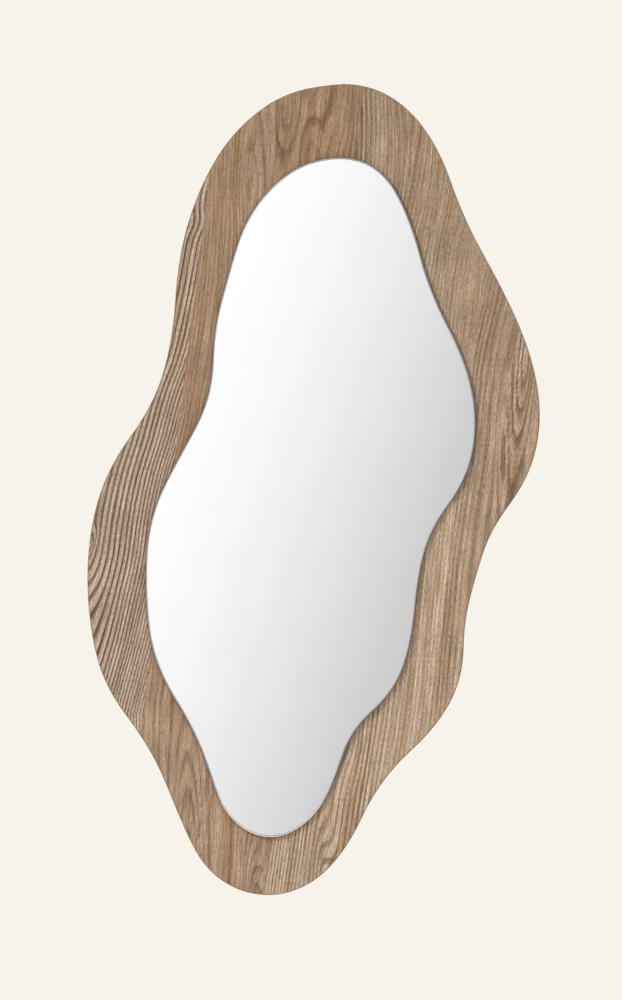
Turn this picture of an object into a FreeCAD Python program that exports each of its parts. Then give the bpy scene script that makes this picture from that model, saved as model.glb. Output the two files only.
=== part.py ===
import FreeCAD, Part
import math
import os

# A wall mirror: free-form glass stuck on the face of a larger, free-form veneered board.
# Sizes are in millimetres. Seen from the front, +X is to the right and +Z is up, and +Y
# points to the wall. The origin lies midway between the two keyhole head holes, on the
# board's back face.

# Board, overall
board_width = 502.0
board_height = 900.0
core_thickness = 16.0
veneer_thickness = 0.6

# Both outlines are drawn at full size about the middle of the board, clockwise from the
# top as seen from the front. Each is one smooth closed curve through its stations.
board_stations = [
    (24, 450), (92, 432), (137, 378), (163, 314), (215, 211), (242, 143),
    (251, 86), (234, 10), (198, -47), (180, -97), (168, -151), (164, -200),
    (145, -247), (75, -327), (31, -403), (-12, -441), (-56, -450), (-112, -426),
    (-145, -373), (-187, -282), (-229, -218), (-248, -150), (-249, -57), (-224, 27),
    (-183, 92), (-160, 161), (-148, 261), (-128, 329), (-80, 404), (-26, 440),
]
glass_stations = [
    (26, 369), (74, 353), (103, 308), (133, 218), (167, 143), (180, 78),
    (166, 9), (133, -45), (117, -100), (108, -167), (85, -225), (45, -270),
    (25, -317), (-3, -365), (-50, -386), (-96, -360), (-114, -321), (-132, -274),
    (-175, -191), (-187, -112), (-180, -31), (-147, 42), (-118, 106), (-110, 177),
    (-96, 237), (-72, 303), (-29, 351),
]

# Face veneer: four leaves with parallel joints that lean to the right going up
leaf_width = 158.5
joint_lean = 7.0
middle_joint_shift = 1.0

# Wood edge strip, wound once round the board and butted at the bottom
edge_thickness = 1.0
edge_arris = 0.5
edge_butt_gap = 0.2

# Glass, its silvering and what holds it to the face
glass_thickness = 4.0
glass_arris = 1.5
glass_back_seam = 0.5
silver_thickness = 0.2
silver_inset = 0.6
tape_thickness = 1.0
tape_width = 25.0
tape_pitch = 60.0
tape_margin = 14.0
bead_width = 8.0
shortest_strip = 40.0

# Keyhole hanger plates, let in flush with the back
hanger_spacing = 200.0
hanger_drop = 229.0
hanger_shift = 5.5
plate_thickness = 2.0
plate_width = 18.0
plate_end = 7.0
head_hole_radius = 5.0
slot_width = 5.0
slot_rise = 10.0
screw_above_slot = 12.0
screw_below_hole = 14.0
seat_clearance = 0.2
head_pocket_clearance = 1.5
head_pocket_floor = 6.6

# Countersunk wood screws that hold the plates, and the core left in front of their tips
screw_floor = 3.5
screw_shank_radius = 1.75
screw_head_radius = 3.6
screw_hole_clearance = 0.25
countersink_clearance = 0.1

# Felt pads on the back, placed on the same sheet as the outlines
pad_radius = 9.0
pad_thickness = 3.0
pad_places = {
    "top": (24, 405),
    "right": (200, 90),
    "bottom": (-52, -405),
    "left": (-203, -105),
}

# Depths from the back face to the front of each layer
back_face = 0.0
core_back = back_face - veneer_thickness
core_front = core_back - core_thickness
board_front = core_front - veneer_thickness
tape_front = board_front - tape_thickness
silver_front = tape_front - silver_thickness
glass_front = silver_front - glass_thickness

# The screw head's cone bears on the countersink, so its top lies below the plate's face
screw_back = back_face - countersink_clearance
screw_tip = core_front + screw_floor
plate_front = back_face - plate_thickness
head_pocket_front = core_front + head_pocket_floor

# Heights of the hanger's features, from the middle of its head hole
upper_screw_z = slot_rise + screw_above_slot
lower_screw_z = -screw_below_hole
hanger_places = {
    "left": -hanger_spacing / 2,
    "right": hanger_spacing / 2,
}

to_wall = FreeCAD.Vector(0, 1, 0)
to_front = FreeCAD.Vector(0, -1, 0)


# Directions of a smooth closed curve where it passes its stations
def directions(places):
    curve = Part.BSplineCurve()
    curve.interpolate(Points=places, PeriodicFlag=True)
    return [curve.tangent(knot)[0] for knot in curve.getKnots()[:-1]]


# The arc that leaves its start in the given direction
def arc_from(start, direction, end):
    chord = end - start
    aside = chord.cross(direction).cross(chord)
    if aside.Length < 1e-6 * chord.Length ** 3:
        return Part.makeLine(start, end)
    rise = chord.Length / 2 * math.tan(direction.getAngle(chord) / 2)
    crown = (start + end) / 2 + aside.normalize() * rise
    return Part.Arc(start, crown, end).toShape()


# Two arcs that leave one station and reach the next in the given directions, and meet smoothly
def arc_pair(start, leaving, end, reaching):
    chord = end - start
    both = leaving + reaching
    spread = 2 * (1 - leaving.dot(reaching))
    along = chord.dot(both)
    reach = chord.dot(chord) / (along + math.sqrt(along ** 2 + spread * chord.dot(chord)))
    meeting = (start + end + (leaving - reaching) * reach) / 2
    first = arc_from(start, leaving, meeting)
    second = arc_from(end, -reaching, meeting)
    return [first, second]


def outline(points):
    places = [FreeCAD.Vector(x, 0, z) for x, z in points]
    headings = directions(places)
    arcs = []
    for number, place in enumerate(places):
        following = (number + 1) % len(places)
        arcs += arc_pair(place, headings[number], places[following], headings[following])
    return Part.Wire(Part.sortEdges(arcs)[0])


# The sheet is stretched so that the board's curve has exactly the stated width and height
sheet = outline(board_stations).BoundBox
stretch_x = board_width / sheet.XLength
stretch_z = board_height / sheet.ZLength
board_left = hanger_shift - board_width / 2
board_bottom = hanger_drop - board_height
board_middle_z = board_bottom + board_height / 2


def placed(point):
    x = board_left + (point[0] - sheet.XMin) * stretch_x
    z = board_bottom + (point[1] - sheet.ZMin) * stretch_z
    return x, z


board_outline = outline([placed(point) for point in board_stations])
glass_outline = outline([placed(point) for point in glass_stations])


# An outline moved inwards by one distance all round
def inset(wire, distance):
    return wire.makeOffset2D(-distance)


# An outline extruded between two depths
def slab(wire, front, back):
    solid = Part.Face(wire).extrude(to_wall * (back - front))
    solid.translate(to_wall * front)
    return solid


# Edges that run all the way round a slab, at the named depths
def rims(solid, depths):
    found = []
    for edge in solid.Edges:
        box = edge.BoundBox
        if box.YLength > 0.01:
            continue
        if any(abs(box.YMin - depth) < 0.01 for depth in depths):
            found.append(edge)
    return found


# An upright bar with fully rounded ends whose end centres are at the two heights
def rounded_bar(x, low, high, radius, front, back):
    left = x - radius
    right = x + radius
    corners = [
        FreeCAD.Vector(left, front, low),
        FreeCAD.Vector(right, front, low),
        FreeCAD.Vector(right, front, high),
        FreeCAD.Vector(left, front, high),
    ]
    bottom = FreeCAD.Vector(x, front, low - radius)
    top = FreeCAD.Vector(x, front, high + radius)
    sides = [
        Part.Arc(corners[0], bottom, corners[1]).toShape(),
        Part.makeLine(corners[1], corners[2]),
        Part.Arc(corners[2], top, corners[3]).toShape(),
        Part.makeLine(corners[3], corners[0]),
    ]
    return Part.Face(Part.Wire(sides)).extrude(to_wall * (back - front))


# A round bar along the depth
def round_bar(x, z, radius, front, back):
    return Part.makeCylinder(radius, back - front, FreeCAD.Vector(x, front, z), to_wall)


# ---- Keyhole hangers, their screws and the recesses they need ----

# A 90 degree cone that narrows towards the front by as much as it is deep
def countersink(x, z, radius, small_radius, back):
    depth = radius - small_radius
    mouth = FreeCAD.Vector(x, back, z)
    return Part.makeCone(radius, small_radius, depth, mouth, to_front)


# The plate's own form, or with a larger radius the seat that it is let into
def plate_blank(x, radius):
    half = plate_width / 2
    low = lower_screw_z - plate_end + half
    high = upper_screw_z + plate_end - half
    return rounded_bar(x, low, high, radius, plate_front, back_face)


def hanger_plate(x):
    plate = plate_blank(x, plate_width / 2)
    head_hole = round_bar(x, 0, head_hole_radius, plate_front, back_face)
    slot = rounded_bar(x, 0, slot_rise, slot_width / 2, plate_front, back_face)
    plate = plate.cut([head_hole, slot])
    hole_radius = screw_shank_radius + screw_hole_clearance
    mouth_radius = screw_head_radius + countersink_clearance
    for z in (lower_screw_z, upper_screw_z):
        hole = round_bar(x, z, hole_radius, plate_front, back_face)
        mouth = countersink(x, z, mouth_radius, hole_radius, back_face)
        plate = plate.cut([hole, mouth])
    return plate


def hanger_screw(x, z):
    head = countersink(x, z, screw_head_radius, screw_shank_radius, screw_back)
    shank_back = screw_back - (screw_head_radius - screw_shank_radius)
    shank = round_bar(x, z, screw_shank_radius, screw_tip, shank_back)
    return head.fuse(shank)


# The seat for the plate and, deeper, the room for a wall screw's head behind the slot
def hanger_recess(x):
    seat = plate_blank(x, plate_width / 2 + seat_clearance)
    pocket_radius = head_hole_radius + head_pocket_clearance
    pocket = rounded_bar(x, 0, slot_rise, pocket_radius, head_pocket_front, back_face)
    return seat.fuse(pocket)


# ---- Board ----

core_outline = inset(board_outline, edge_thickness)


def edge_band():
    outer = slab(board_outline, board_front, back_face)
    outer = outer.makeChamfer(edge_arris, rims(outer, [board_front, back_face]))
    band = outer.cut(slab(core_outline, board_front, back_face))
    x, z = placed(min(board_stations, key=lambda station: station[1]))
    corner = FreeCAD.Vector(x - edge_butt_gap / 2, board_front, z - edge_thickness)
    height = 3 * edge_thickness
    gap = Part.makeBox(edge_butt_gap, back_face - board_front, height, corner)
    return band.cut(gap)


def board_core(recesses, screws):
    core = slab(core_outline, core_front, core_back)
    return core.cut(recesses + screws)


def back_veneer(recesses):
    return slab(core_outline, core_back, back_face).cut(recesses)


# The strip between two joints, leaned over about the middle of the board
def veneer_leaf(number, leaves):
    left = (number - leaves / 2) * leaf_width
    first = number == 0
    last = number == leaves - 1
    spare = board_width + board_height
    start = left - spare if first else left
    end = left + leaf_width + spare if last else left + leaf_width
    corner = FreeCAD.Vector(start, board_front, -spare)
    strip = Part.makeBox(end - start, veneer_thickness, 2 * spare, corner)
    strip.rotate(FreeCAD.Vector(0, 0, 0), to_wall, joint_lean)
    strip.translate(FreeCAD.Vector(hanger_shift + middle_joint_shift, 0, board_middle_z))
    return slab(core_outline, board_front, core_front).common(strip)


# ---- Glass and what holds it ----

def mirror_glass():
    glass = slab(glass_outline, glass_front, silver_front)
    glass = glass.makeChamfer(glass_arris, rims(glass, [glass_front]))
    return glass.makeChamfer(glass_back_seam, rims(glass, [silver_front]))


def silver_backing():
    return slab(inset(glass_outline, silver_inset), silver_front, tape_front)


tape_field = Part.Face(inset(glass_outline, tape_margin))
glass_box = glass_outline.BoundBox
glass_middle = (glass_box.XMin + glass_box.XMax) / 2


# The longest upright run that stays inside the taped field at one x
def clear_run(x):
    low = FreeCAD.Vector(x, 0, glass_box.ZMin)
    high = FreeCAD.Vector(x, 0, glass_box.ZMax)
    runs = tape_field.common(Part.makeLine(low, high)).Edges
    if not runs:
        return 0, 0
    longest = max(runs, key=lambda run: run.Length).BoundBox
    return longest.ZMin, longest.ZMax


# Middles and ends of the upright strips of one width that fit in the taped field
def strip_runs(width, first_x):
    found = []
    reach = int(glass_box.XLength / 2 / tape_pitch) + 1
    for step in range(-reach, reach + 1):
        x = first_x + step * tape_pitch
        left_run = clear_run(x - width / 2)
        right_run = clear_run(x + width / 2)
        low = max(left_run[0], right_run[0])
        high = min(left_run[1], right_run[1])
        if high - low > shortest_strip:
            found.append((x, low, high))
    return found


def strips(width, first_x):
    bars = []
    for x, low, high in strip_runs(width, first_x):
        corner = FreeCAD.Vector(x - width / 2, tape_front, low)
        bars.append(Part.makeBox(width, tape_thickness, high - low, corner))
    return Part.makeCompound(bars)


def mirror_tape():
    return strips(tape_width, glass_middle)


def adhesive_beads():
    return strips(bead_width, glass_middle + tape_pitch / 2)


def wall_pad(point):
    x, z = placed(point)
    return round_bar(x, z, pad_radius, back_face, back_face + pad_thickness)


# ---- All the pieces ----

nodes = {}
recesses = []
screws = []
for side, x in hanger_places.items():
    nodes["hanger_" + side] = hanger_plate(x)
    recesses.append(hanger_recess(x))
    for z in (lower_screw_z, upper_screw_z):
        screws.append(hanger_screw(x, z))

nodes["hanger_screws"] = Part.makeCompound(screws)
nodes["board_core"] = board_core(recesses, screws)
nodes["back_veneer"] = back_veneer(recesses)
nodes["edge_band"] = edge_band()
leaf_count = 4
for number in range(leaf_count):
    nodes["veneer_leaf_" + str(number + 1)] = veneer_leaf(number, leaf_count)
nodes["mirror_glass"] = mirror_glass()
nodes["silver_backing"] = silver_backing()
nodes["mirror_tape"] = mirror_tape()
nodes["adhesive_beads"] = adhesive_beads()
for side, point in pad_places.items():
    nodes["wall_pad_" + side] = wall_pad(point)

os.makedirs("parts", exist_ok=True)
for name, shape in nodes.items():
    shape.exportStep("parts/" + name + ".step")
    print(name, "valid", shape.isValid(), "solids", len(shape.Solids), "cm3", round(shape.Volume / 1000, 2))
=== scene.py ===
# An irregular wall mirror: four leaves of oak on a free-form board, a smaller
# free-form glass set off the middle, and two keyhole hangers and four felt pads
# behind. Lengths are in metres, in the frame of the CAD model. Values whose
# names end in Mm, and the places on the board, are in millimetres.
import math
import bpy
import bmesh
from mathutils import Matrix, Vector, noise


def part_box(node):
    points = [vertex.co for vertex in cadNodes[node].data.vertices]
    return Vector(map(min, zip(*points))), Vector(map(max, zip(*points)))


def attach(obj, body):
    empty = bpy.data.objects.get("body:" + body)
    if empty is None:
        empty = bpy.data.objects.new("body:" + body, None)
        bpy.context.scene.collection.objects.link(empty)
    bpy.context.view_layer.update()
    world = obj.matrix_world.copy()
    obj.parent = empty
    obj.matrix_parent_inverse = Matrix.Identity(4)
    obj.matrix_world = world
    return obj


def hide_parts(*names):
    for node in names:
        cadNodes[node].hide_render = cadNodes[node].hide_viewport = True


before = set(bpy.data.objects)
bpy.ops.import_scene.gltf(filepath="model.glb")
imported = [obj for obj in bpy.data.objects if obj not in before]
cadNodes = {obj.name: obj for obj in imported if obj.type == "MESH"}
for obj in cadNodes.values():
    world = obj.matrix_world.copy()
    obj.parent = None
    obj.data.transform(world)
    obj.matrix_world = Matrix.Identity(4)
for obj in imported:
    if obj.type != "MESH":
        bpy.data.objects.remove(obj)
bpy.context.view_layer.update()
print("stage: frame loaded,", len(cadNodes), "nodes")


# ---- small helpers for node trees

def give(tree, value, socket):  # a plain value, or another node's output
    if isinstance(value, bpy.types.NodeSocket):
        tree.links.new(value, socket)
    else:
        socket.default_value = value


def calc(tree, operation, *values):
    node = tree.nodes.new("ShaderNodeMath")
    node.operation = operation
    for value, socket in zip(values, node.inputs):
        give(tree, value, socket)
    return node.outputs[0]


def joined(tree, x, y, z):
    node = tree.nodes.new("ShaderNodeCombineXYZ")
    give(tree, x, node.inputs[0])
    give(tree, y, node.inputs[1])
    give(tree, z, node.inputs[2])
    return node.outputs[0]


def clouds(tree, vector, scale=1.0, detail=2.0, roughness=0.5):  # noise about 0.5
    node = tree.nodes.new("ShaderNodeTexNoise")
    give(tree, vector, node.inputs["Vector"])
    node.inputs["Scale"].default_value = scale
    node.inputs["Detail"].default_value = detail
    node.inputs["Roughness"].default_value = roughness
    return node.outputs["Fac"]


def ranged(tree, value, low, high, toLow=0.0, toHigh=1.0, smooth=False):
    node = tree.nodes.new("ShaderNodeMapRange")
    node.interpolation_type = "SMOOTHSTEP" if smooth else "LINEAR"
    for number, socket in zip((value, low, high, toLow, toHigh), node.inputs):
        give(tree, number, socket)
    return node.outputs[0]


def blended(tree, factor, first, second, mode="MIX"):  # two colours
    node = tree.nodes.new("ShaderNodeMix")
    node.data_type = "RGBA"
    node.blend_type = mode
    give(tree, factor, node.inputs[0])
    give(tree, first, node.inputs[6])
    give(tree, second, node.inputs[7])
    return node.outputs[2]


def ramp(tree, value, stops, easing="LINEAR"):  # stops are (place, colour), from low to high
    node = tree.nodes.new("ShaderNodeValToRGB")
    node.color_ramp.interpolation = easing
    marks = node.color_ramp.elements
    marks.remove(marks[1])
    marks[0].position, marks[0].color = stops[0]
    for place, colour in stops[1:]:
        marks.new(place).color = colour
    give(tree, value, node.inputs[0])
    return node.outputs[0]


def followed(tree, value, points, fromRange, toRange):  # a smooth curve through points
    node = tree.nodes.new("ShaderNodeFloatCurve")
    curve = node.mapping.curves[0]
    places = []
    for place, result in sorted(points):
        x = (place - fromRange[0]) / (fromRange[1] - fromRange[0])
        y = (result - toRange[0]) / (toRange[1] - toRange[0])
        places.append((x, y))
    curve.points[0].location = places[0]
    curve.points[1].location = places[-1]
    for x, y in places[1:-1]:
        curve.points.new(x, y)
    node.mapping.update()
    share = ranged(tree, value, fromRange[0], fromRange[1])
    give(tree, share, node.inputs["Value"])
    return ranged(tree, node.outputs[0], 0.0, 1.0, toRange[0], toRange[1])


def paint(red, green, blue):  # a colour as a screen shows it, 0 to 255, for a shader
    linear = []
    for level in (red, green, blue):
        share = level / 255
        if share <= 0.04045:
            linear.append(share / 12.92)
        else:
            linear.append(((share + 0.055) / 1.055) ** 2.4)
    return (*linear, 1.0)


def newMaterial(name):
    material = bpy.data.materials.new(name)
    material.use_nodes = True
    tree = material.node_tree
    tree.nodes.clear()
    output = tree.nodes.new("ShaderNodeOutputMaterial")
    shader = tree.nodes.new("ShaderNodeBsdfPrincipled")
    tree.links.new(shader.outputs[0], output.inputs["Surface"])
    return material, tree, shader


def raised(tree, shader, height, distance, strength=1.0):  # bump from a height
    bump = tree.nodes.new("ShaderNodeBump")
    bump.inputs["Distance"].default_value = distance
    bump.inputs["Strength"].default_value = strength
    give(tree, height, bump.inputs["Height"])
    tree.links.new(bump.outputs[0], shader.inputs["Normal"])


def surfaceSocket(tree):
    return next(node for node in tree.nodes if node.type == "OUTPUT_MATERIAL").inputs["Surface"]


def objectPlace(tree):
    return tree.nodes.new("ShaderNodeTexCoord").outputs["Object"]


def dress(nodeName, material):  # a better material on a CAD node
    cadNodes[nodeName].data.materials.clear()
    cadNodes[nodeName].data.materials.append(material)


# ---- the board's own measure: millimetres about its middle, x across and z up

mmPerMetre = 1000.0
boardLow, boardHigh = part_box("board_core")
boardMiddle = (boardLow + boardHigh) / 2


def boardPlace(tree):  # across, deep and up
    shift = tree.nodes.new("ShaderNodeVectorMath")
    shift.operation = "SUBTRACT"
    give(tree, objectPlace(tree), shift.inputs[0])
    shift.inputs[1].default_value = boardMiddle
    inMm = tree.nodes.new("ShaderNodeVectorMath")
    inMm.operation = "SCALE"
    give(tree, shift.outputs[0], inMm.inputs[0])
    inMm.inputs["Scale"].default_value = mmPerMetre
    parts = tree.nodes.new("ShaderNodeSeparateXYZ")
    give(tree, inMm.outputs[0], parts.inputs[0])
    return parts.outputs[0], parts.outputs[1], parts.outputs[2]


def stretched(tree, place, scales, detail):  # noise with a scale of its own each way
    scaled = [calc(tree, "MULTIPLY", way, scale) for way, scale in zip(place, scales)]
    return clouds(tree, joined(tree, *scaled), detail=detail)


# ---- oak leaves: growth rings run along a line, and bulge where a crown is cut

# how far the curves of a figure may reach, in millimetres and in rings
acrossRange = (-260.0, 260.0)
upRange = (-460.0, 460.0)
asideRange = (-130.0, 130.0)
ringRange = (-30.0, 30.0)

# the noise behind each mark: its scale across the grain and up, in turns to the millimetre, its
# detail and roughness, a seed of its own, and the span of values over which the mark grows
oakMarks = {
    "wander": {"across": 0.05, "up": 0.012, "detail": 3.0, "roughness": 0.5, "seed": 0.0},
    "fading": {"across": 0.08, "up": 0.02, "detail": 2.0, "roughness": 0.5, "seed": 3.0,
               "span": (0.35, 0.6)},
    "pores": {"across": 1.2, "up": 0.15, "detail": 2.0, "roughness": 0.5, "seed": 7.0,
              "span": (0.5, 0.62)},
    "fibre": {"across": 0.8, "up": 0.025, "detail": 4.0, "roughness": 0.6, "seed": 11.0,
              "span": (0.36, 0.64)},
    "grit": {"across": 0.75, "up": 0.28, "detail": 3.0, "roughness": 0.7, "seed": 13.0,
             "span": (0.36, 0.64)},
    "streak": {"across": 0.11, "up": 0.004, "detail": 3.0, "roughness": 0.5, "seed": 17.0,
               "span": (0.35, 0.65)},
}

# what all leaves share
oakLook = {
    "grainPerRing": 2.5,                # mm that each ring of a crown moves the fine marks
    "lineCore": (0.35, 0.75),           # at this share of a line's width, it is still this dark
    "lineBack": 0.45,                   # the steep side's width, as a share of the soft side's
    "cloud": {"scale": 0.022, "seed": 23.0, "detail": 3.0, "span": (0.38, 0.62)},
    "cloudShade": (0.94, 1.06), "fibreShade": (0.7, 1.3),
    "toneUp": (-400.0, 400.0),          # heights of the low and the high tone
    "warmUp": (-100.0, 400.0),          # heights between which green and blue fall to these shares
    "topGreen": 0.965, "topBlue": 0.9,
    "linePores": 0.5,                   # how much stronger the pores are in a dark line
    "poreStrength": 0.65,
    "roughness": 0.5, "lineRoughness": 0.12, "gloss": 0.12,
    "poreRise": -1.0, "lineRise": -0.35, "fibreRise": 0.25,
    "bump": (0.00012, 0.6),             # its depth in metres and its strength
}


def crowned(tree, across, up, crown):  # what a crown or a patch adds at a place
    x, z, wide, above, below, rings, lean = crown
    rise = calc(tree, "SUBTRACT", up, z)
    aside = calc(tree, "SUBTRACT", across, x)
    leant = calc(tree, "MULTIPLY_ADD", rise, -lean, aside)
    isAbove = calc(tree, "GREATER_THAN", rise, 0.0)
    reach = calc(tree, "MULTIPLY_ADD", isAbove, above - below, float(below))
    sideShare = calc(tree, "DIVIDE", leant, float(wide))
    riseShare = calc(tree, "DIVIDE", rise, reach)
    squared = calc(tree, "MULTIPLY_ADD", sideShare, sideShare,
                   calc(tree, "MULTIPLY", riseShare, riseShare))
    bell = calc(tree, "EXPONENT", calc(tree, "MULTIPLY", squared, -1.0))
    return calc(tree, "MULTIPLY", bell, rings)


def oakNoise(tree, kind, across, up, figure):  # drawn out along the grain
    marks = oakMarks[kind]
    place = joined(tree, calc(tree, "MULTIPLY", across, marks["across"]), marks["seed"] + figure["seed"],
                   calc(tree, "MULTIPLY", up, marks["up"]))
    return clouds(tree, place, detail=marks["detail"], roughness=marks["roughness"])


def earlyLines(tree, rings, aside, up, figure):  # one soft side, and weaker in some rings and places
    width = figure["lineShare"]
    corePlace, coreLevel = oakLook["lineCore"]
    stops = [(0.0, (1.0,) * 4), (width * corePlace, (coreLevel,) * 4), (width, (0.0,) * 4),
             (1.0 - width * oakLook["lineBack"], (0.0,) * 4), (1.0, (1.0,) * 4)]
    lines = ramp(tree, calc(tree, "FRACT", rings), stops, "EASE")
    chance = tree.nodes.new("ShaderNodeTexWhiteNoise")
    chance.noise_dimensions = "1D"
    give(tree, calc(tree, "ADD", calc(tree, "ROUND", rings), figure["seed"]), chance.inputs["W"])
    ringPower = ranged(tree, chance.outputs[0], 0.0, 1.0, figure["weakest"], 1.0)
    fading = oakNoise(tree, "fading", aside, up, figure)
    placePower = ranged(tree, fading, *oakMarks["fading"]["span"], figure["faintest"], 1.0)
    asidePower = followed(tree, aside, figure["strength"], asideRange, (0.0, 1.0))
    power = calc(tree, "MULTIPLY", calc(tree, "MULTIPLY", ringPower, placePower), asidePower)
    return calc(tree, "MULTIPLY", lines, power)


def leafColour(tree, across, up, grain, fibre, figure):  # the wood's tone between its lines
    streak = oakNoise(tree, "streak", grain, up, figure)
    colour = blended(tree, ranged(tree, streak, *oakMarks["streak"]["span"]), figure["pale"], figure["warm"])
    shade = ranged(tree, up, *oakLook["toneUp"], *figure["tone"])
    for patch in figure["patches"]:
        shade = calc(tree, "ADD", shade, crowned(tree, across, up, patch))
    broad = oakLook["cloud"]
    cloud = clouds(tree, joined(tree, across, broad["seed"], up), broad["scale"], broad["detail"])
    shade = calc(tree, "MULTIPLY", shade, ranged(tree, cloud, *broad["span"], *oakLook["cloudShade"]))
    fibreSpan = oakMarks["fibre"]["span"]
    shade = calc(tree, "MULTIPLY", shade, ranged(tree, fibre, *fibreSpan, *oakLook["fibreShade"]))
    grit = oakNoise(tree, "grit", grain, up, figure)
    least, most = 1.0 - figure["grit"], 1.0 + figure["grit"]
    shade = calc(tree, "MULTIPLY", shade, ranged(tree, grit, *oakMarks["grit"]["span"], least, most))
    green = ranged(tree, up, *oakLook["warmUp"], 1.0, oakLook["topGreen"])
    blue = ranged(tree, up, *oakLook["warmUp"], 1.0, oakLook["topBlue"])
    tint = joined(tree, shade, calc(tree, "MULTIPLY", shade, green), calc(tree, "MULTIPLY", shade, blue))
    return blended(tree, 1.0, colour, tint, "MULTIPLY")


def oakLeaf(name, figure):
    material, tree, shader = newMaterial(name)
    across, _, up = boardPlace(tree)
    line = followed(tree, up, figure["line"], upRange, acrossRange)
    aside = calc(tree, "SUBTRACT", across, line)

    # rings by number, so that each whole number is a dark early line; the finer
    # marks run along the same figure, in millimetres across the grain
    bulge = 0.0
    for crown in figure["crowns"]:
        bulge = calc(tree, "ADD", bulge, crowned(tree, across, up, crown))
    rings = calc(tree, "ADD", followed(tree, aside, figure["ringsAt"], asideRange, ringRange), bulge)
    grain = calc(tree, "MULTIPLY_ADD", bulge, oakLook["grainPerRing"], aside)
    wander = calc(tree, "SUBTRACT", oakNoise(tree, "wander", aside, up, figure), 0.5)
    rings = calc(tree, "MULTIPLY_ADD", wander, figure["wander"], rings)
    early = earlyLines(tree, rings, aside, up, figure)

    # pores are short dark dashes along the grain, most of them in the early lines
    pores = ranged(tree, oakNoise(tree, "pores", grain, up, figure), *oakMarks["pores"]["span"])
    poreShare = calc(tree, "MULTIPLY_ADD", early, oakLook["linePores"], figure["speckle"])
    pores = calc(tree, "MULTIPLY", pores, poreShare)
    fibre = oakNoise(tree, "fibre", grain, up, figure)

    colour = leafColour(tree, across, up, grain, fibre, figure)
    colour = blended(tree, calc(tree, "MULTIPLY", early, figure["contrast"]), colour, figure["dark"])
    colour = blended(tree, calc(tree, "MULTIPLY", pores, oakLook["poreStrength"]), colour, figure["pore"])
    tree.links.new(colour, shader.inputs["Base Color"])
    roughness = calc(tree, "MULTIPLY_ADD", early, oakLook["lineRoughness"], oakLook["roughness"])
    give(tree, roughness, shader.inputs["Roughness"])
    shader.inputs["Specular IOR Level"].default_value = oakLook["gloss"]
    hollow = calc(tree, "ADD", calc(tree, "MULTIPLY", pores, oakLook["poreRise"]),
                  calc(tree, "MULTIPLY", early, oakLook["lineRise"]))
    height = calc(tree, "MULTIPLY_ADD", fibre, oakLook["fibreRise"], hollow)
    raised(tree, shader, height, *oakLook["bump"])
    return material


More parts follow.
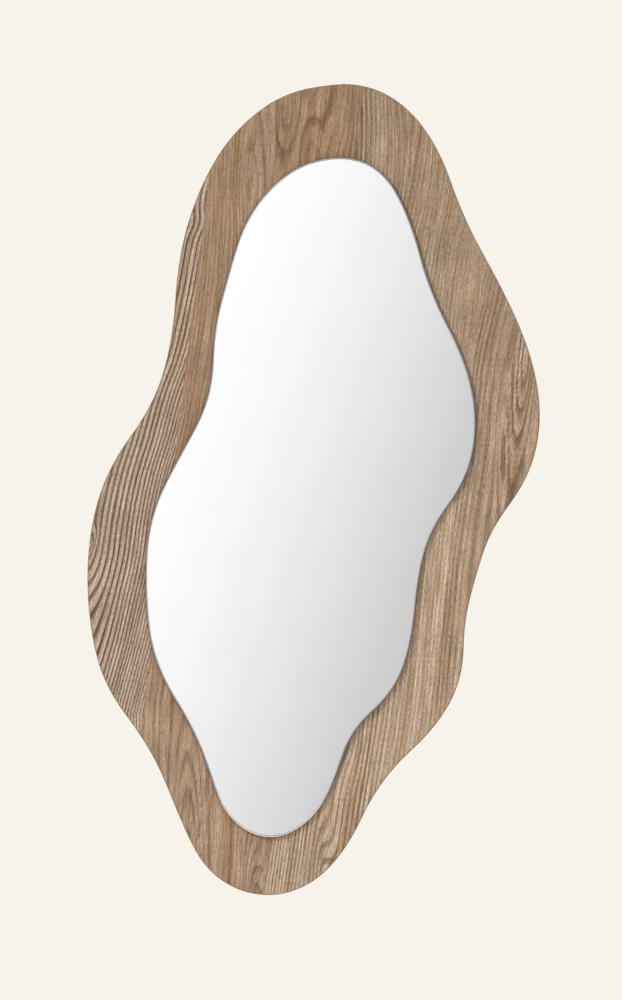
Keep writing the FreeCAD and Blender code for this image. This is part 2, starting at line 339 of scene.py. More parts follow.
# line: (height, where ring 0 runs); ringsAt: (distance across from that line, ring number)
# crowns: (x, z, half width, reach above, reach below, rings, lean)
# patches: the same, with a share of brightness in place of rings
# wander: rings that the lines stray; lineShare: a line's soft width, as a share of its ring
# weakest and faintest: how dark the weakest ring and the faintest stretch of it stay
# strength: (distance across, how dark the lines are); tone: brightness low down and high up
# speckle: pores between the lines; grit: how much small marks change the brightness
leafFigures = {
    "veneer_leaf_1": {
        "line": [(377, -116), (343, -122), (316, -127), (297, -127), (277, -134), (252, -139),
                 (210, -147), (155, -159), (99, -178), (55, -190), (11, -203), (-34, -212),
                 (-78, -218), (-123, -228), (-167, -238), (-211, -250), (-245, -259), (-300, -270)],
        "ringsAt": [(-45, -7), (-22, -3.7), (-6, -1.05), (0, 0), (6, 1), (11, 2), (16, 3), (24, 5),
                    (32, 7), (42, 10), (53, 13), (80, 21)],
        "crowns": [(-266, -142, 24.5, 61, 69, 3.0, 0.0), (-248, -61, 5.5, 16, 16, -1.6, 0.3)],
        "patches": [(-247, -57, 4.0, 9, 10, -0.25, 0.3), (-216, 33, 3.5, 24, 24, -0.1, 0.3),
                    (-240, -17, 4.5, 24, 24, -0.14, 0.3)],
        "wander": 0.3, "lineShare": 0.42, "weakest": 0.85, "faintest": 0.9, "contrast": 1.0,
        "strength": [(-45, 0.85), (0, 1.0), (30, 0.95), (60, 0.8), (90, 0.6)],
        "speckle": 0.4, "grit": 0.32, "tone": (1.03, 0.85), "seed": 1.0,
        "pale": paint(203, 182, 163), "warm": paint(180, 153, 130),
        "dark": paint(64, 40, 24), "pore": paint(86, 60, 42)},
    "veneer_leaf_2": {
        "line": [(454, -28), (366, -31), (266, -35), (99, -57), (-78, -98), (-233, -123),
                 (-344, -126), (-455, -132)],
        "ringsAt": [(-122, -19), (-51, -0.6), (-42, 0.3), (0, 0.45), (33, 0.75), (47, 2.5),
                    (111, 13)],
        "crowns": [(-3, 360, 12.0, 49, 55, 2.1, 0.0), (-73, 332, 13.5, 78, 67, 2.6, 0.0),
                   (-28, 423, 10.5, 67, 40, -2.0, 0.08), (34, 446, 22.0, 67, 78, -2.6, 0.0),
                   (-139, -433, 16.5, 166, 89, 5.0, 0.0), (-66, -455, 10.0, 55, 67, 3.0, -0.05)],
        "patches": [(-54, 366, 4.0, 50, 55, 0.1, 0.0), (-107, 321, 1.5, 61, 61, 0.1, 0.0),
                    (3, 442, 2.0, 10, 10, -0.2, 0.5), (-171, -250, 5.0, 50, 52, 0.24, 0.0),
                    (-176, -253, 1.5, 47, 44, -0.12, 0.0), (-139, -283, 5.5, 22, 33, 0.08, 0.0),
                    (-78, -413, 5.0, 33, 33, 0.1, 0.0), (-66, -440, 8.0, 18, 18, -0.14, 0.0),
                    (-109, -339, 3.5, 45, 45, 0.13, -0.19), (-87, -410, 4.0, 33, 33, 0.1, -0.1),
                    (-2, 379, 4.5, 8, 8, -0.1, 0.0)],
        "wander": 0.2, "lineShare": 0.42, "weakest": 0.6, "faintest": 0.5, "contrast": 0.72,
        "strength": [(-122, 0.7), (-50, 0.7), (0, 0.9), (60, 0.8), (111, 0.7)],
        "speckle": 0.5, "grit": 0.17, "tone": (1.06, 0.9), "seed": 2.0,
        "pale": paint(180, 156, 134), "warm": paint(160, 128, 99),
        "dark": paint(84, 56, 32), "pore": paint(94, 66, 42)},
    "veneer_leaf_3": {
        "line": [(454, 52), (366, 52), (321, 47), (266, 36), (177, 25), (122, 19), (33, 98),
                 (-12, 94), (-123, 83), (-233, 73), (-283, 66), (-344, 56), (-394, 49), (-455, 40)],
        "ringsAt": [(-122, -26), (-89, -17), (-69, -11.5), (-49, -7.2), (-36, -6.2), (-29, -5.2),
                    (0, 0), (33, 6.5), (67, 14), (111, 24)],
        "crowns": [(94, 443, 11.0, 67, 78, 1.2, 0.0), (123, 443, 13.5, 67, 105, -2.2, 0.0),
                   (40, -272, 13.5, 33, 36, -1.2, 0.0), (10, -433, 10.0, 51, 67, 2.6, 0.0)],
        "patches": [(101, 421, 6.5, 16, 16, 0.08, 0.0), (105, 392, 3.5, 13, 13, -0.2, 0.0),
                    (13, -358, 8.0, 31, 27, 0.16, 0.0), (10, -409, 5.5, 18, 13, -0.2, 0.0),
                    (140, -145, 4.5, 111, 100, 0.08, 0.1), (116, -200, 2.0, 44, 44, 0.08, 0.1),
                    (158, -145, 5.5, 67, 55, -0.08, 0.0), (100, -250, 15.5, 33, 44, -0.05, 0.0),
                    (54, -300, 13.5, 55, 55, 0.08, 0.2),
                    (140, -80, 70.0, 130, 150, 0.13, 0.1)],
        "wander": 0.2, "lineShare": 0.45, "weakest": 0.65, "faintest": 0.6, "contrast": 0.92,
        "strength": [(-122, 1.0), (-60, 0.95), (-30, 1.0), (4, 1.0), (22, 0.48), (40, 0.5),
                     (111, 0.42)],
        "speckle": 0.5, "grit": 0.24, "tone": (1.15, 0.78), "seed": 3.0,
        "pale": paint(199, 178, 156), "warm": paint(172, 145, 117),
        "dark": paint(80, 52, 28), "pore": paint(94, 66, 42)},
    "veneer_leaf_4": {
        "line": [(277, 204), (244, 192), (199, 182), (155, 172), (99, 164), (44, 159), (-12, 151),
                 (-78, 142), (-167, 134), (-278, 123)],
        "ringsAt": [(-67, -16), (0, 0), (22, 4.6), (39, 6.6), (67, 8), (111, 10)],
        "crowns": [(236, 144, 9.5, 67, 78, -3.4, 0.1), (210, 44, 6.5, 64, 67, 1.9, 0.03)],
        "patches": [(210, 55, 4.5, 40, 51, 0.14, 0.0), (217, 66, 2.0, 39, 55, -0.14, 0.0),
                    (233, 22, 3.5, 13, 13, -0.16, 0.0), (189, 4, 1.5, 2, 2, -0.5, 0.0),
                    (205, 171, 9.0, 61, 67, -0.08, 0.0), (174, 221, 4.5, 50, 67, 0.06, 0.25),
                    (220, 11, 3.5, 33, 33, -0.08, 0.0)],
        "wander": 0.2, "lineShare": 0.45, "weakest": 0.7, "faintest": 0.65, "contrast": 0.85,
        "strength": [(-67, 0.8), (-8, 0.75), (0, 0.7), (20, 0.68), (28, 0.5), (42, 0.5), (52, 0.95),
                     (60, 1.0), (111, 1.0)],
        "speckle": 0.5, "grit": 0.25, "tone": (1.15, 0.76), "seed": 4.0,
        "pale": paint(195, 172, 149), "warm": paint(169, 140, 112),
        "dark": paint(84, 55, 33), "pore": paint(94, 66, 43)},
}

for nodeName, figure in leafFigures.items():
    dress(nodeName, oakLeaf("oak_" + nodeName, figure))
backFigure = dict(leafFigures["veneer_leaf_3"], seed=9.0, crowns=[], patches=[], contrast=0.45,
                  line=[(460, 20), (0, 0), (-460, -20)], strength=[(-120, 0.7), (120, 0.7)],
                  ringsAt=[(-125, -15), (0, 0), (125, 15)], tone=(1.0, 1.0))
print("stage: oak leaves")


# ---- the rest of the board

def edgeOak(figure):  # a thin strip bent round the rim, its grain running along it
    material, tree, shader = newMaterial("oak_edge_strip")
    place = boardPlace(tree)
    fibre = stretched(tree, place, figure["fibreScales"], figure["detail"])
    broad = clouds(tree, joined(tree, *place), figure["broadScale"])
    colour = blended(tree, ranged(tree, broad, *figure["broadSpan"]), figure["pale"], figure["warm"])
    fibrous = ranged(tree, fibre, *figure["fibreSpan"], 0.0, figure["fibreStrength"])
    tree.links.new(blended(tree, fibrous, colour, figure["dark"]), shader.inputs["Base Color"])
    shader.inputs["Roughness"].default_value = figure["roughness"]
    shader.inputs["Specular IOR Level"].default_value = figure["gloss"]
    raised(tree, shader, fibre, *figure["bump"])
    return material


def speckled(name, figure):  # fibreboard, foam or adhesive, in two tones of fine specks
    material, tree, shader = newMaterial(name)
    place = joined(tree, *boardPlace(tree))
    specks = clouds(tree, place, figure["scale"], figure["detail"], figure["fineness"])
    colour = blended(tree, ranged(tree, specks, *figure["span"]), figure["dark"], figure["pale"])
    tree.links.new(colour, shader.inputs["Base Color"])
    shader.inputs["Roughness"].default_value = figure["roughness"]
    raised(tree, shader, specks, *figure["bump"])
    return material


# scales are in turns to the millimetre; bump is its depth in metres and its strength
boardFinishes = {
    "edge": {"fibreScales": (0.05, 2.2, 0.05), "detail": 4.0, "fibreSpan": (0.52, 0.7),
             "fibreStrength": 0.8, "broadScale": 0.03, "broadSpan": (0.3, 0.7),
             "roughness": 0.5, "gloss": 0.35, "bump": (0.0001, 0.6),
             "pale": paint(150, 122, 96), "warm": paint(134, 104, 78), "dark": paint(92, 66, 46)},
    "core": {"scale": 1.6, "detail": 4.0, "fineness": 0.7, "span": (0.35, 0.65),
             "roughness": 0.85, "bump": (0.0002, 0.7),
             "pale": paint(172, 141, 104), "dark": paint(132, 102, 70)},
}
dress("edge_band", edgeOak(boardFinishes["edge"]))
dress("board_core", speckled("pressed_fibre", boardFinishes["core"]))
dress("back_veneer", oakLeaf("oak_back", backFigure))
print("stage: edge, core and back")


# ---- glass, silver, tape and adhesive

def outlineOf(nodeName, height):  # the CAD node's corners at one height, in order round it
    weldWithin, levelWithin = 1e-6, 2e-5
    work = bmesh.new()
    work.from_mesh(cadNodes[nodeName].data)
    bmesh.ops.remove_doubles(work, verts=work.verts, dist=weldWithin)
    around = {}
    for edge in work.edges:
        first, second = edge.verts
        if max(abs(first.co.y - height), abs(second.co.y - height)) < levelWithin:
            around.setdefault(first, []).append(second)
            around.setdefault(second, []).append(first)
    loop = [next(iter(around))]
    while len(loop) < len(around):
        onward = [vertex for vertex in around[loop[-1]] if vertex not in loop[-2:]]
        loop.append(onward[0])
    points = [Vector((vertex.co.x, vertex.co.z)) for vertex in loop]
    work.free()
    return points


def smoothLoop(points, steps):  # more points on the same round outline, and the outward way at each
    count = len(points)
    area = 0.0
    ways = []
    for index, point in enumerate(points):
        before = point - points[index - 1]
        after = points[(index + 1) % count] - point
        ways.append((before / before.length_squared + after / after.length_squared).normalized())
        area += points[index - 1].cross(point)
    outward = 1.0 if area > 0 else -1.0
    loop = []
    for index, point in enumerate(points):
        following = points[(index + 1) % count]
        chord = (following - point).length
        pull = ways[index] * chord
        push = ways[(index + 1) % count] * chord
        for step in range(steps):
            part = step / steps
            place = (point * (2 * part**3 - 3 * part**2 + 1) + pull * (part**3 - 2 * part**2 + part)
                     + following * (3 * part**2 - 2 * part**3) + push * (part**3 - part**2))
            way = ways[index].lerp(ways[(index + 1) % count], part).normalized()
            loop.append((place, Vector((way.y, -way.x)) * outward))
    if outward < 0:
        loop.reverse()
    return loop


def plateFromLoop(name, loop, profile, bandSlots):  # profile: (inset, y) from the front to the back
    work = bmesh.new()
    rings = []
    for inset, y in profile:
        rings.append([work.verts.new((place.x - way.x * inset, y, place.y - way.y * inset))
                      for place, way in loop])
    for band, slotNumber in enumerate(bandSlots):
        for index in range(len(loop)):
            onward = (index + 1) % len(loop)
            face = work.faces.new((rings[band][index], rings[band][onward],
                                   rings[band + 1][onward], rings[band + 1][index]))
            face.material_index = slotNumber
            face.smooth = True
    work.faces.new(list(reversed(rings[0])))
    work.faces.new(rings[-1])
    work.normal_update()
    bmesh.ops.recalc_face_normals(work, faces=work.faces)
    mesh = bpy.data.meshes.new(name)
    work.to_mesh(mesh)
    work.free()
    piece = bpy.data.objects.new(name, mesh)
    bpy.context.scene.collection.objects.link(piece)
    return piece


# steps: points on each stretch between two corners of the CAD outline; edge: how far in from the
# rim, and how far behind the front, each line round the edge runs; lowUp: heights between which
# the edge takes its low colour, which is painted light: a painted reflection of the floor on the
# arris and painted shade on the side; bite: how far the silver reaches into the glass
mirrorFinishes = {
    "glass": {"tint": paint(254, 255, 255), "ior": 1.52, "smearScale": 0.012, "smearDetail": 3.0,
              "smearSpan": (0.4, 0.7), "smear": 0.004, "steps": 4,
              "edge": [(0.0020, 0.0), (0.0011, 0.0003), (0.0005, 0.0009), (0.00015, 0.0017),
                       (0.0, 0.0026), (0.0, 0.0036), (0.0004, 0.0040)]},
    "ground": {"scales": (0.25, 6.0, 0.25), "detail": 3.0, "span": (0.3, 0.7), "lowUp": (-310.0, -375.0),
               "roughness": (0.2, 0.35), "polish": 0.5, "polishRoughness": 0.08},
    # arris low: a painted reflection of the pale floor below the glass
    "arris": {"pale": paint(186, 182, 181), "dark": paint(164, 160, 158), "low": paint(246, 242, 228)},
    # side: dark browns, partly the glass edge's own dark and partly painted shade of the gap between glass
    # and board; low is painted shade at the bottom
    "side": {"pale": paint(96, 80, 68), "dark": paint(66, 52, 44), "low": paint(60, 46, 38)},
    "silver": {"pale": paint(251, 251, 250), "dark": paint(249, 249, 248), "toneScale": 0.02,
               "toneSpan": (0.3, 0.7), "inset": 0.0012, "bite": 0.00005},
    "foam": {"scale": 1.2, "detail": 3.0, "fineness": 0.5, "span": (0.35, 0.65), "roughness": 0.8,
             "bump": (0.0002, 0.6), "pale": paint(222, 219, 212), "dark": paint(190, 186, 178)},
}
mirrorFinishes["adhesive"] = dict(mirrorFinishes["foam"], roughness=0.4,
                                  pale=paint(196, 194, 190), dark=paint(168, 166, 160))


def clearGlass(figure):
    material, tree, shader = newMaterial("clear_glass")
    shader.inputs["Base Color"].default_value = figure["tint"]
    shader.inputs["Transmission Weight"].default_value = 1.0
    shader.inputs["IOR"].default_value = figure["ior"]
    smear = clouds(tree, joined(tree, *boardPlace(tree)), figure["smearScale"], figure["smearDetail"])
    roughness = ranged(tree, smear, *figure["smearSpan"], 0.0, figure["smear"])
    give(tree, roughness, shader.inputs["Roughness"])
    return material


def groundEdgeWithPaintedLight(name, figure, ground):  # ground and polished, and paler or darker low down, where the colour is painted light: a painted reflection of the floor on the arris, painted shade on the side
    material, tree, shader = newMaterial(name)
    place = boardPlace(tree)
    streak = stretched(tree, place, ground["scales"], ground["detail"])
    colour = blended(tree, ranged(tree, streak, *ground["span"]), figure["dark"], figure["pale"])
    # low down, a painted reflection of the pale floor on the arris and painted shade on the side
    paintedLowLight = ranged(tree, place[2], *ground["lowUp"], smooth=True)
    tree.links.new(blended(tree, paintedLowLight, colour, figure["low"]), shader.inputs["Base Color"])
    roughness = ranged(tree, streak, *ground["span"], *ground["roughness"])
    give(tree, roughness, shader.inputs["Roughness"])
    shader.inputs["Coat Weight"].default_value = ground["polish"]
    shader.inputs["Coat Roughness"].default_value = ground["polishRoughness"]
    return material


def silverCoat(figure):
    material, tree, shader = newMaterial("silver_coat")
    tone = clouds(tree, joined(tree, *boardPlace(tree)), figure["toneScale"])
    colour = blended(tree, ranged(tree, tone, *figure["toneSpan"]), figure["pale"], figure["dark"])
    tree.links.new(colour, shader.inputs["Base Color"])
    shader.inputs["Metallic"].default_value = 1.0
    shader.inputs["Roughness"].default_value = 0.0
    return material


def mirrorPieces():
    glassLow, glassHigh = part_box("mirror_glass")
    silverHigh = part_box("silver_backing")[1]
    glassForm = mirrorFinishes["glass"]
    # the second height from the front is where the CAD arris meets the side, at the full outline
    heights = sorted({round(vertex.co.y, 6) for vertex in cadNodes["mirror_glass"].data.vertices})
    loop = smoothLoop(outlineOf("mirror_glass", heights[1]), glassForm["steps"])
    profile = [(inset, glassLow.y + behind) for inset, behind in glassForm["edge"]]
    arrisSlot, sideSlot = 1, 2
    slots = [arrisSlot] + [sideSlot] * (len(profile) - 2)
    glass = plateFromLoop("glass_sheet", loop, profile, slots)
    glass.data.materials.append(clearGlass(glassForm))
    for edgeName in ("arris", "side"):
        finish = groundEdgeWithPaintedLight("glass_" + edgeName, mirrorFinishes[edgeName], mirrorFinishes["ground"])
        glass.data.materials.append(finish)
    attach(glass, "root")
    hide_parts("mirror_glass")
    # the coat's front lies a hair inside the glass, so that no ray slips between them
    silver = mirrorFinishes["silver"]
    coat = plateFromLoop("silver_coat", loop, [(silver["inset"], glassHigh.y - silver["bite"]),
                                               (silver["inset"], silverHigh.y)], [0])
    coat.data.materials.append(silverCoat(silver))
    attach(coat, "root")
    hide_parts("silver_backing")


mirrorPieces()
dress("mirror_tape", speckled("foam_tape", mirrorFinishes["foam"]))
dress("adhesive_beads", speckled("mirror_adhesive", mirrorFinishes["adhesive"]))
print("stage: mirror")


# ---- hangers

def zinc(name, figure):  # crystals of the zinc in two tones, brushed up and down
    material, tree, shader = newMaterial(name)
    place = boardPlace(tree)
    spangle = tree.nodes.new("ShaderNodeTexVoronoi")
    give(tree, joined(tree, *place), spangle.inputs["Vector"])
    spangle.inputs["Scale"].default_value = figure["spangle"]
    tone = tree.nodes.new("ShaderNodeSeparateColor")
    give(tree, spangle.outputs["Color"], tone.inputs[0])
    colour = blended(tree, tone.outputs[0], figure["dark"], figure["pale"])
    tree.links.new(colour, shader.inputs["Base Color"])
    shader.inputs["Metallic"].default_value = 1.0
    brushed = stretched(tree, place, figure["brushScales"], figure["brushDetail"])
    roughness = ranged(tree, brushed, *figure["brushSpan"], *figure["roughness"])
    give(tree, roughness, shader.inputs["Roughness"])
    raised(tree, shader, brushed, *figure["bump"])
    return material


hangerFinish = {
    "pale": paint(206, 208, 212), "dark": paint(188, 191, 197), "spangle": 0.35,
    "brushScales": (3.0, 1.0, 0.15), "brushDetail": 3.0, "brushSpan": (0.3, 0.7),
    "roughness": (0.28, 0.45), "bump": (0.00003, 0.5),
}
zincPlate = zinc("zinc_plate", hangerFinish)
dress("hanger_left", zincPlate)
dress("hanger_right", zincPlate)
print("stage: hangers")


# ---- what repeats: screws and felt pads, each set from one template

def repeatTree():  # copies of a piece at points, each turned about y by chance
    tree = bpy.data.node_groups.new("copies_at_points", "GeometryNodeTree")
    sockets = {}
    for title, kind in (("Points", "Geometry"), ("Piece", "Object"), ("Scale", "Float"),
                        ("Turn", "Float"), ("Seed", "Int"), ("Finish", "Material")):
        socket = tree.interface.new_socket(title, in_out="INPUT", socket_type="NodeSocket" + kind)
        sockets[title] = socket.identifier
    tree.interface.new_socket("Pieces", in_out="OUTPUT", socket_type="NodeSocketGeometry")
    given = tree.nodes.new("NodeGroupInput").outputs
    piece = tree.nodes.new("GeometryNodeObjectInfo")
    tree.links.new(given["Piece"], piece.inputs["Object"])
    chance = tree.nodes.new("FunctionNodeRandomValue")
    chance.data_type = "FLOAT"
    tree.links.new(given["Turn"], chance.inputs[3])
    tree.links.new(given["Seed"], chance.inputs["Seed"])
    turn = tree.nodes.new("FunctionNodeEulerToRotation")
    tree.links.new(joined(tree, 0.0, chance.outputs[1], 0.0), turn.inputs[0])
    copies = tree.nodes.new("GeometryNodeInstanceOnPoints")
    tree.links.new(given["Points"], copies.inputs["Points"])
    tree.links.new(piece.outputs["Geometry"], copies.inputs["Instance"])
    tree.links.new(turn.outputs[0], copies.inputs["Rotation"])
    tree.links.new(given["Scale"], copies.inputs["Scale"])
    real = tree.nodes.new("GeometryNodeRealizeInstances")
    tree.links.new(copies.outputs[0], real.inputs[0])
    dressed = tree.nodes.new("GeometryNodeSetMaterial")
    tree.links.new(real.outputs[0], dressed.inputs["Geometry"])
    tree.links.new(given["Finish"], dressed.inputs["Material"])
    result = tree.nodes.new("NodeGroupOutput")
    tree.links.new(dressed.outputs[0], result.inputs[0])
    return tree, sockets


copyTree, copySockets = repeatTree()


def copiesAt(name, template, places, finish, seed):  # the template is in millimetres
    points = bpy.data.meshes.new(name + "_points")
    points.from_pydata(places, [], [])
    piece = bpy.data.objects.new(name, points)
    bpy.context.scene.collection.objects.link(piece)
    modifier = piece.modifiers.new("copies", "NODES")
    modifier.node_group = copyTree
    values = {"Piece": template, "Scale": 1 / mmPerMetre, "Turn": 2 * math.pi, "Seed": seed,
              "Finish": finish}
    for title, value in values.items():
        modifier[copySockets[title]] = value
    bpy.context.view_layer.update()
    graph = bpy.context.evaluated_depsgraph_get()
    mesh = bpy.data.meshes.new_from_object(piece.evaluated_get(graph))
    piece.modifiers.remove(modifier)
    piece.data = mesh
    bpy.data.objects.remove(template)
    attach(piece, "root")
    return piece


def lathed(work, profile, segments, wobble=None):  # rings about y from (radius, y) pairs
    rings = []
    for radius, y in profile:
        ring = []
        for step in range(segments):
            angle = 2 * math.pi * step / segments
            reach = radius + (wobble(angle, radius, y) if wobble else 0.0)
            ring.append(work.verts.new((math.cos(angle) * reach, y, math.sin(angle) * reach)))
        rings.append(ring)
    for first, second in zip(rings, rings[1:]):
        for step in range(segments):
            onward = (step + 1) % segments
            face = work.faces.new((first[step], first[onward], second[onward], second[step]))
            face.smooth = True
    return rings


def templateFrom(name, work):
    bmesh.ops.recalc_face_normals(work, faces=work.faces)
    mesh = bpy.data.meshes.new(name)
    work.to_mesh(mesh)
    work.free()
    template = bpy.data.objects.new(name, mesh)
    bpy.context.scene.collection.objects.link(template)
    return template


# sizes in millimetres, measured from the flat of the head, which faces +y; head, shank, root and
# point are radii, and threadShare is how much of a turn the thread's foot takes
screwForm = {
    "head": 3.6, "shank": 1.75, "root": 1.2, "plainTo": 3.4, "threadTo": 11.4, "tip": 12.95,
    "rimWidth": 0.2, "rimDrop": 0.12, "neckWidth": 0.05, "neckLength": 0.3,
    "taperShare": 0.6, "taperLength": 0.8, "point": 0.08,
    "pitch": 1.3, "threadShare": 0.5, "rowsPerTurn": 6, "segments": 28,
    "crossArm": 2.0, "crossHalf": 0.42, "crossDeep": 1.9, "crossTaper": 0.4, "seed": 3,
}


def screwTemplate(form):
    work = bmesh.new()
    head, shank, root, plain = form["head"], form["shank"], form["root"], form["plainTo"]

    def thread(angle, radius, y):
        if -y <= plain or -y >= form["threadTo"]:
            return 0.0
        turn = (-y / form["pitch"] + angle / (2 * math.pi)) % 1.0
        return (shank - radius) * max(0.0, 1.0 - abs(turn - 0.5) / (form["threadShare"] / 2))

    cone = head - shank
    neck = form["neckLength"]
    profile = [(head - form["rimWidth"], 0.0), (head, -form["rimDrop"]),
               (shank + form["neckWidth"], -cone - form["neckWidth"]),
               (shank, -cone - neck), (shank, -plain + neck), (root, -plain)]
    threaded = form["threadTo"] - plain
    rows = math.ceil(threaded / form["pitch"] * form["rowsPerTurn"])
    for row in range(1, rows + 1):
        profile.append((root, -plain - threaded * row / rows))
    profile.append((root * form["taperShare"], -form["threadTo"] - form["taperLength"]))
    profile.append((form["point"], -form["tip"]))
    rings = lathed(work, profile, form["segments"], thread)
    work.faces.new(rings[-1])

    # the cross that a screwdriver fits, narrower at its floor
    arm, half = form["crossArm"], form["crossHalf"]
    corners = []
    for quarter in range(4):
        angle = quarter * math.pi / 2
        for x, z in ((arm, -half), (arm, half), (half, half)):
            corners.append((x * math.cos(angle) - z * math.sin(angle),
                            x * math.sin(angle) + z * math.cos(angle)))
    rim = [work.verts.new((x, 0.0, z)) for x, z in corners]
    taper = form["crossTaper"]
    floor = [work.verts.new((x * taper, -form["crossDeep"], z * taper)) for x, z in corners]
    for index in range(len(rim)):
        onward = (index + 1) % len(rim)
        work.faces.new((rim[index], rim[onward], floor[onward], floor[index]))
    work.faces.new(floor)
    borders = [edge for edge in work.edges if edge.is_boundary]
    bmesh.ops.triangle_fill(work, edges=borders, use_beauty=True, use_dissolve=False)
    return templateFrom("screw_template", work)


def screwPieces():
    low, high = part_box("hanger_screws")
    inward = screwForm["head"] / mmPerMetre
    places = [(x, high.y, z) for x in (low.x + inward, high.x - inward)
              for z in (low.z + inward, high.z - inward)]
    screws = copiesAt("cross_head_screws", screwTemplate(screwForm), places,
                      zinc("zinc_screw", hangerFinish), screwForm["seed"])
    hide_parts("hanger_screws")


screwPieces()
print("stage: screws")


# sizes in millimetres; fuzz is how far the felt's surface rises and falls, and stillBelow is the
# height under which it does neither
padForm = {
    "thick": 3.0, "round": 0.9, "roundSteps": 4, "footInset": 0.3, "footHeight": 0.25,
    "rings": 14, "segments": 72, "fuzz": 0.16, "fuzzSize": 1.4, "stillBelow": 0.1, "seed": 8,
}
feltFinish = {
    "hairs": 900.0, "detail": 5.0, "fineness": 0.7, "span": (0.35, 0.65),  # hairs to the metre
    "roughness": 0.95, "sheen": 0.4, "bump": (0.0004, 0.8),
    "pale": paint(120, 118, 116), "dark": paint(74, 72, 71),
}
padNodes = ["wall_pad_" + side for side in ("top", "right", "bottom", "left")]


def felt(figure):
    material, tree, shader = newMaterial("grey_felt")
    hair = clouds(tree, objectPlace(tree), figure["hairs"], figure["detail"], figure["fineness"])
    colour = blended(tree, ranged(tree, hair, *figure["span"]), figure["dark"], figure["pale"])
    tree.links.new(colour, shader.inputs["Base Color"])
    shader.inputs["Roughness"].default_value = figure["roughness"]
    shader.inputs["Sheen Weight"].default_value = figure["sheen"]
    raised(tree, shader, hair, *figure["bump"])
    return material


def padTemplate(form):
    work = bmesh.new()
    low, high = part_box(padNodes[0])
    radius = (high.x - low.x) / 2 * mmPerMetre
    thick, soft, fuzz, ringCount = form["thick"], form["round"], form["fuzz"], form["rings"]
    profile = [(radius - form["footInset"], 0.0), (radius - fuzz, form["footHeight"]),
               (radius - fuzz, thick - soft - fuzz)]
    for step in range(1, form["roundSteps"] + 1):
        angle = math.pi / 2 * step / form["roundSteps"]
        profile.append((radius - fuzz - soft + soft * math.cos(angle),
                        thick - fuzz - soft + soft * math.sin(angle)))
    flat = profile[-1][0]
    for ring in range(1, ringCount):
        profile.append((flat * (1 - ring / ringCount), thick - fuzz))
    rings = lathed(work, profile, form["segments"])
    work.faces.new(rings[0])
    work.faces.new(rings[-1]).smooth = True
    bmesh.ops.recalc_face_normals(work, faces=work.faces)
    work.normal_update()
    pushes = []
    for vertex in work.verts:
        if vertex.co.y > form["stillBelow"]:
            push = noise.noise(vertex.co * form["fuzzSize"]) * fuzz
            pushes.append((vertex, vertex.normal * push))
    for vertex, push in pushes:
        vertex.co += push
    return templateFrom("pad_template", work)


def padPieces():
    places = []
    for nodeName in padNodes:
        low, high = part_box(nodeName)
        places.append(((low.x + high.x) / 2, low.y, (low.z + high.z) / 2))
    pads = copiesAt("felt_pads", padTemplate(padForm), places, felt(feltFinish), padForm["seed"])
    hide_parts(*padNodes)


padPieces()
print("stage: pads")


# ---- studio: camera, floor, backdrop that the glass shows, and lamps

studio = {
    "camera": Vector((0.00264, -2.6369, -0.2326)),   # frames the mirror as the photograph does
    "lensMm": 85.0, "sensorMm": 36.0, "farthest": 100.0,
    "background": paint(247, 243, 235),
    "daylight": 0.48, "daylightColour": paint(252, 252, 255),   # the even light from all round
    "floorHeight": -1.2, "floorReach": 9.0, "floorFade": (0.9, 1.6), "floorRoughness": 0.9,
    "screenPlace": -3.8, "screenReach": 11.0, "screenTop": 4.5, "screenGap": 0.001,
}


def studioCamera():  # level, and square to the mirror
    camera = bpy.data.objects.new("studio_camera", bpy.data.cameras.new("studio_camera"))
    bpy.context.scene.collection.objects.link(camera)
    camera.location = studio["camera"]
    camera.rotation_euler = (math.radians(90), 0, 0)
    camera.data.lens = studio["lensMm"]
    camera.data.sensor_fit = "VERTICAL"
    camera.data.sensor_height = studio["sensorMm"]
    camera.data.clip_end = studio["farthest"]
    bpy.context.scene.camera = camera


def seenDirectly(tree):  # 1 for camera, mirrored and refracted rays, and 0 for light
    path = tree.nodes.new("ShaderNodeLightPath")
    either = calc(tree, "MAXIMUM", path.outputs["Is Camera Ray"], path.outputs["Is Glossy Ray"])
    return calc(tree, "MAXIMUM", either, path.outputs["Is Transmission Ray"])


def sheetObject(name, corners):
    mesh = bpy.data.meshes.new(name)
    mesh.from_pydata(corners, [], [tuple(range(len(corners)))])
    thing = bpy.data.objects.new(name, mesh)
    bpy.context.scene.collection.objects.link(thing)
    return thing


def studioWorld():
    world = bpy.data.worlds.new("studio_world")
    bpy.context.scene.world = world
    world.use_nodes = True
    tree = world.node_tree
    tree.nodes.clear()
    output = tree.nodes.new("ShaderNodeOutputWorld")
    shown = tree.nodes.new("ShaderNodeBackground")
    shown.inputs[0].default_value = studio["background"]
    light = tree.nodes.new("ShaderNodeBackground")
    light.inputs[0].default_value = studio["daylightColour"]
    light.inputs[1].default_value = studio["daylight"]
    choice = tree.nodes.new("ShaderNodeMixShader")
    give(tree, seenDirectly(tree), choice.inputs[0])
    tree.links.new(light.outputs[0], choice.inputs[1])
    tree.links.new(shown.outputs[0], choice.inputs[2])
    tree.links.new(choice.outputs[0], output.inputs[0])


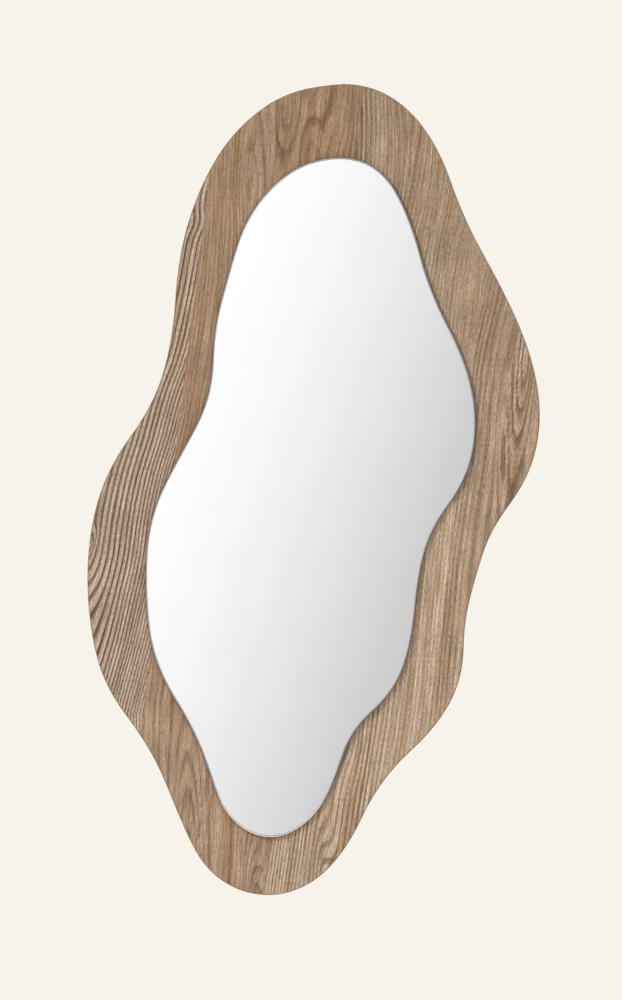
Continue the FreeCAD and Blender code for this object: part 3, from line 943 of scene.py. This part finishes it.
def studioFloor():  # keeps the object's shadow near it, and fades to the backdrop farther off
    reach = studio["floorReach"]
    z = studio["floorHeight"]
    floor = sheetObject("studio_floor", [(-reach, -reach, z), (reach, -reach, z),
                                         (reach, reach, z), (-reach, reach, z)])
    material, tree, shader = newMaterial("studio_floor")
    shader.inputs["Base Color"].default_value = studio["background"]
    shader.inputs["Roughness"].default_value = studio["floorRoughness"]
    shader.inputs["Specular IOR Level"].default_value = 0.0
    plain = tree.nodes.new("ShaderNodeEmission")
    plain.inputs[0].default_value = studio["background"]
    flat = tree.nodes.new("ShaderNodeVectorMath")
    flat.operation = "MULTIPLY"
    give(tree, objectPlace(tree), flat.inputs[0])
    flat.inputs[1].default_value = (1, 1, 0)
    distance = tree.nodes.new("ShaderNodeVectorMath")
    distance.operation = "LENGTH"
    give(tree, flat.outputs[0], distance.inputs[0])
    near, far = studio["floorFade"]
    fade = ranged(tree, distance.outputs["Value"], near, far, smooth=True)
    choice = tree.nodes.new("ShaderNodeMixShader")
    give(tree, calc(tree, "MULTIPLY", fade, seenDirectly(tree)), choice.inputs[0])
    tree.links.new(shader.outputs[0], choice.inputs[1])
    tree.links.new(plain.outputs[0], choice.inputs[2])
    tree.links.new(choice.outputs[0], surfaceSocket(tree))
    floor.data.materials.append(material)


# the sweep goes from white to grey across the screen, leaning as it rises
# tones: (place across in metres at the camera's height, grey level)
sweep = {
    "strength": 1.06, "lean": -0.374, "span": (-1.5, 1.5),
    "tones": [(-0.45, 255), (-0.33, 251), (-0.19, 246), (-0.12, 240), (-0.04, 238), (0.01, 233),
              (0.15, 224), (0.36, 206), (0.48, 203), (1.2, 236)],
}


def screenTone(tree):
    parts = tree.nodes.new("ShaderNodeSeparateXYZ")
    give(tree, objectPlace(tree), parts.inputs[0])
    rise = calc(tree, "SUBTRACT", parts.outputs[2], studio["camera"].z)
    fromMiddle = calc(tree, "SUBTRACT", parts.outputs[0], studio["camera"].x)
    place = calc(tree, "MULTIPLY_ADD", rise, sweep["lean"], fromMiddle)
    low, high = sweep["span"]
    share = ranged(tree, place, low, high)
    stops = []
    for where, grey in sweep["tones"]:
        stops.append(((where - low) / (high - low), paint(grey, grey, grey)))
    return ramp(tree, share, stops)


def studioScreen():  # a soft grey sweep in front, which only the glass shows
    reach = studio["screenReach"]
    y = studio["screenPlace"]
    low, top = studio["floorHeight"] + studio["screenGap"], studio["screenTop"]
    screen = sheetObject("studio_screen", [(-reach, y, low), (-reach, y, top),
                                           (reach, y, top), (reach, y, low)])
    screen.visible_camera = False
    screen.visible_diffuse = False
    screen.visible_shadow = False
    material, tree, shader = newMaterial("studio_screen")
    tree.nodes.remove(shader)
    light = tree.nodes.new("ShaderNodeEmission")
    give(tree, screenTone(tree), light.inputs[0])
    light.inputs[1].default_value = sweep["strength"]
    tree.links.new(light.outputs[0], surfaceSocket(tree))
    screen.data.materials.append(material)


lamps = {  # place, width, watts, and the warmth of its colour
    "key_lamp": {"place": (-1.7, -1.9, 1.25), "size": 0.7, "power": 47.0, "colour": (1.0, 0.985, 0.96)},
    "fill_lamp": {"place": (1.3, -2.4, 0.2), "size": 1.6, "power": 9.1, "colour": (0.97, 0.985, 1.0)},
    "back_lamp": {"place": (0.6, 2.4, 1.4), "size": 1.6, "power": 40.0, "colour": (1.0, 1.0, 1.0)},
}


def studioLamps():  # aimed at the board, and unseen themselves
    for name, values in lamps.items():
        lamp = bpy.data.lights.new(name, "AREA")
        lamp.size = values["size"]
        lamp.energy = values["power"]
        lamp.color = values["colour"]
        holder = bpy.data.objects.new(name, lamp)
        bpy.context.scene.collection.objects.link(holder)
        holder.location = values["place"]
        holder.rotation_euler = (boardMiddle - holder.location).to_track_quat("-Z", "Y").to_euler()
        holder.visible_camera = False
        holder.visible_glossy = False
        holder.visible_transmission = False


studioCamera()
studioWorld()
studioFloor()
studioScreen()
studioLamps()
bpy.context.scene.view_settings.view_transform = "Standard"
print("stage: studio")

print("stage: done")
